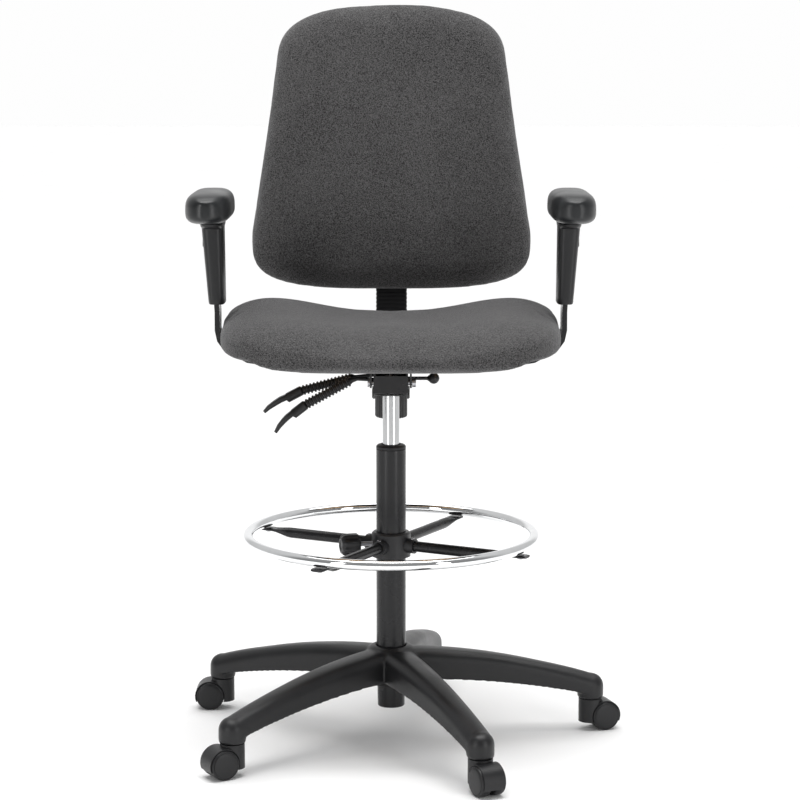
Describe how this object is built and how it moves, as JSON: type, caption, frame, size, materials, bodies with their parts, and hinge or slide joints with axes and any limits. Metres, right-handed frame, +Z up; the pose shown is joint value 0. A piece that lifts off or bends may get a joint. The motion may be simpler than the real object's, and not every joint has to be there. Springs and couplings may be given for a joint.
{
  "type": "drafting chair",
  "caption": "Tall swivel drafting chair with gas lift, chrome foot ring, five-star base on twin-wheel casters, padded grey seat and back, and height-adjustable armrests.",
  "frame": {"origin": "on the floor, on the axis of the gas column", "axes": "+Z up; the sitter faces -Y; +X is the sitter's left"},
  "size_m": [0.7439, 0.7566, 1.2379],
  "materials": {
    "black_nylon": "fine moulded grain, low sheen",
    "black_paint": "black powder coat, satin",
    "chrome": "polished",
    "satin_steel": "ground and lightly polished",
    "rubber": "moulded",
    "arm_foam": "self-skinned polyurethane, soft sheen",
    "plywood": "bare moulded plywood",
    "fabric": "fine grey woven upholstery"
  },
  "bodies": {
    "base": {"five_star_base": "black_nylon", "column_tube": "black_paint", "column_bush": "black_nylon", "thrust_bearing": "satin_steel"},
    "caster_1": {"caster_1_hood": "black_nylon", "caster_1_axle": "satin_steel"},
    "caster_1_wheel_left": {"caster_1_wheel_left": "black_nylon"},
    "caster_1_wheel_right": {"caster_1_wheel_right": "black_nylon"},
    "caster_2": {"caster_2_hood": "black_nylon", "caster_2_axle": "satin_steel"},
    "caster_2_wheel_left": {"caster_2_wheel_left": "black_nylon"},
    "caster_2_wheel_right": {"caster_2_wheel_right": "black_nylon"},
    "caster_3": {"caster_3_hood": "black_nylon", "caster_3_axle": "satin_steel"},
    "caster_3_wheel_left": {"caster_3_wheel_left": "black_nylon"},
    "caster_3_wheel_right": {"caster_3_wheel_right": "black_nylon"},
    "caster_4": {"caster_4_hood": "black_nylon", "caster_4_axle": "satin_steel"},
    "caster_4_wheel_left": {"caster_4_wheel_left": "black_nylon"},
    "caster_4_wheel_right": {"caster_4_wheel_right": "black_nylon"},
    "caster_5": {"caster_5_hood": "black_nylon", "caster_5_axle": "satin_steel"},
    "caster_5_wheel_left": {"caster_5_wheel_left": "black_nylon"},
    "caster_5_wheel_right": {"caster_5_wheel_right": "black_nylon"},
    "spindle": {"piston_rod": "satin_steel", "rubber_bumper": "rubber", "retaining_clip": "satin_steel"},
    "lift": {"gas_cylinder": "satin_steel", "mechanism_housing": "black_paint", "tilt_pivot_pin": "satin_steel", "tension_bolt": "satin_steel"},
    "release_pin": {"release_pin": "satin_steel"},
    "height_lever": {"height_lever": "black_nylon"},
    "back_lever": {"back_lever": "black_nylon"},
    "tilt_lock_knob": {"tilt_lock_knob": "black_nylon"},
    "tension_knob": {"tension_knob": "black_nylon"},
    "seat": {"seat_plate": "black_paint", "seat_pan": "plywood", "seat_cushion": "fabric", "arm_left_upright": "black_paint", "arm_right_upright": "black_paint"},
    "back": {"back_bracket": "black_paint", "back_bar": "black_paint", "back_bar_cover": "black_nylon"},
    "backrest": {"back_slider": "black_nylon", "back_shell": "black_nylon", "back_cushion": "fabric"},
    "arm_left": {"arm_left_sleeve": "black_nylon", "arm_left_pad": "arm_foam"},
    "arm_left_button": {"arm_left_button": "black_nylon"},
    "arm_right": {"arm_right_sleeve": "black_nylon", "arm_right_pad": "arm_foam"},
    "arm_right_button": {"arm_right_button": "black_nylon"},
    "foot_ring": {"foot_ring": "chrome", "foot_ring_hub": "black_nylon", "foot_ring_spoke_1": "black_paint", "foot_ring_spoke_2": "black_paint", "foot_ring_spoke_3": "black_paint", "foot_ring_spoke_4": "black_paint"},
    "foot_ring_knob": {"foot_ring_knob": "black_nylon"}
  },
  "joints": [
    {"name": "caster_1_swivel", "type": "hinge", "parent": "base", "child": "caster_1", "pos_m": [0.14214, -0.3148, 0.07], "axis": [0, 0, 1], "continuous": true},
    {"name": "caster_1_wheel_left_spin", "type": "hinge", "parent": "caster_1", "child": "caster_1_wheel_left", "pos_m": [0.15213, -0.3344, 0.02469], "axis": [0.891, 0.454, 0], "continuous": true},
    {"name": "caster_1_wheel_right_spin", "type": "hinge", "parent": "caster_1", "child": "caster_1_wheel_right", "pos_m": [0.15213, -0.3344, 0.02469], "axis": [0.891, 0.454, 0], "continuous": true},
    {"name": "caster_2_swivel", "type": "hinge", "parent": "base", "child": "caster_2", "pos_m": [0.34331, 0.0379, 0.07], "axis": [0, 0, 1], "continuous": true},
    {"name": "caster_2_wheel_left_spin", "type": "hinge", "parent": "caster_2", "child": "caster_2_wheel_left", "pos_m": [0.36424, 0.0447, 0.02469], "axis": [-0.309, 0.9511, 0], "continuous": true},
    {"name": "caster_2_wheel_right_spin", "type": "hinge", "parent": "caster_2", "child": "caster_2_wheel_right", "pos_m": [0.36424, 0.0447, 0.02469], "axis": [-0.309, 0.9511, 0], "continuous": true},
    {"name": "caster_3_swivel", "type": "hinge", "parent": "base", "child": "caster_3", "pos_m": [0.07004, 0.33822, 0.07], "axis": [0, 0, 1], "continuous": true},
    {"name": "caster_3_wheel_left_spin", "type": "hinge", "parent": "caster_3", "child": "caster_3_wheel_left", "pos_m": [0.06435, 0.35947, 0.02469], "axis": [-0.9659, -0.2588, 0], "continuous": true},
    {"name": "caster_3_wheel_right_spin", "type": "hinge", "parent": "caster_3", "child": "caster_3_wheel_right", "pos_m": [0.06435, 0.35947, 0.02469], "axis": [-0.9659, -0.2588, 0], "continuous": true},
    {"name": "caster_4_swivel", "type": "hinge", "parent": "base", "child": "caster_4", "pos_m": [-0.30002, 0.17113, 0.07], "axis": [0, 0, 1], "continuous": true},
    {"name": "caster_4_wheel_left_spin", "type": "hinge", "parent": "caster_4", "child": "caster_4_wheel_left", "pos_m": [-0.32203, 0.17113, 0.02469], "axis": [0, -1, 0], "continuous": true},
    {"name": "caster_4_wheel_right_spin", "type": "hinge", "parent": "caster_4", "child": "caster_4_wheel_right", "pos_m": [-0.32203, 0.17113, 0.02469], "axis": [0, -1, 0], "continuous": true},
    {"name": "caster_5_swivel", "type": "hinge", "parent": "base", "child": "caster_5", "pos_m": [-0.25547, -0.23246, 0.07], "axis": [0, 0, 1], "continuous": true},
    {"name": "caster_5_wheel_left_spin", "type": "hinge", "parent": "caster_5", "child": "caster_5_wheel_left", "pos_m": [-0.27452, -0.24346, 0.02469], "axis": [0.5, -0.866, 0], "continuous": true},
    {"name": "caster_5_wheel_right_spin", "type": "hinge", "parent": "caster_5", "child": "caster_5_wheel_right", "pos_m": [-0.27452, -0.24346, 0.02469], "axis": [0.5, -0.866, 0], "continuous": true},
    {"name": "seat_swivel", "type": "hinge", "parent": "base", "child": "spindle", "pos_m": [0, 0, 0.1], "axis": [0, 0, 1], "continuous": true},
    {"name": "seat_lift", "type": "slide", "parent": "spindle", "child": "lift", "axis": [0, 0, 1], "range_m": [-0.08, 0.14]},
    {"name": "release_pin_press", "type": "slide", "parent": "lift", "child": "release_pin", "axis": [0, 0, -1], "range_m": [0, 0.003]},
    {"name": "height_lever_pull", "type": "hinge", "parent": "lift", "child": "height_lever", "pos_m": [-0.0285, 0, 0.622], "axis": [0, 1, 0], "range_deg": [0, 6], "stiffness_Nm_per_rad": 0.4, "springref_deg": -11.46},
    {"name": "back_lever_pull", "type": "hinge", "parent": "lift", "child": "back_lever", "pos_m": [-0.0285, -0.028, 0.618], "axis": [0, 1, 0], "range_deg": [0, 12]},
    {"name": "tilt_lock_pull", "type": "slide", "parent": "lift", "child": "tilt_lock_knob", "axis": [1, 0, 0], "range_m": [0, 0.01]},
    {"name": "tension_knob_turn", "type": "hinge", "parent": "lift", "child": "tension_knob", "pos_m": [0, 0.078, 0.565], "axis": [0, 0, 1], "continuous": true},
    {"name": "seat_tilt", "type": "hinge", "parent": "lift", "child": "seat", "pos_m": [0, -0.05, 0.6165], "axis": [-1, 0, 0], "range_deg": [0, 6]},
    {"name": "back_recline", "type": "hinge", "parent": "seat", "child": "back", "pos_m": [0, 0.125, 0.627], "axis": [-1, 0, 0], "range_deg": [-3, 15]},
    {"name": "back_height", "type": "slide", "parent": "back", "child": "backrest", "axis": [0, 0.1045, 0.9945], "range_m": [-0.015, 0.055]},
    {"name": "arm_left_height", "type": "slide", "parent": "seat", "child": "arm_left", "axis": [0.0454, 0, 0.999], "range_m": [-0.015, 0.05]},
    {"name": "arm_left_button_press", "type": "slide", "parent": "arm_left", "child": "arm_left_button", "axis": [-1, 0, 0], "range_m": [0, 0.003], "stiffness_N_per_m": 300, "springref_m": -0.002},
    {"name": "arm_right_height", "type": "slide", "parent": "seat", "child": "arm_right", "axis": [-0.0454, 0, 0.999], "range_m": [-0.015, 0.05]},
    {"name": "arm_right_button_press", "type": "slide", "parent": "arm_right", "child": "arm_right_button", "axis": [1, 0, 0], "range_m": [0, 0.003], "stiffness_N_per_m": 300, "springref_m": -0.002},
    {"name": "foot_ring_slide", "type": "slide", "parent": "base", "child": "foot_ring", "axis": [0, 0, 1], "range_m": [-0.12, 0.08]},
    {"name": "foot_ring_knob_turn", "type": "hinge", "parent": "foot_ring", "child": "foot_ring_knob", "pos_m": [-0.06729, -0.01929, 0.336], "axis": [-0.9613, -0.2756, 0], "continuous": true}
  ],
  "couplings": [
    {"joint": "release_pin_press", "follows": "height_lever_pull", "m_per_rad": 0.0285}
  ]
}
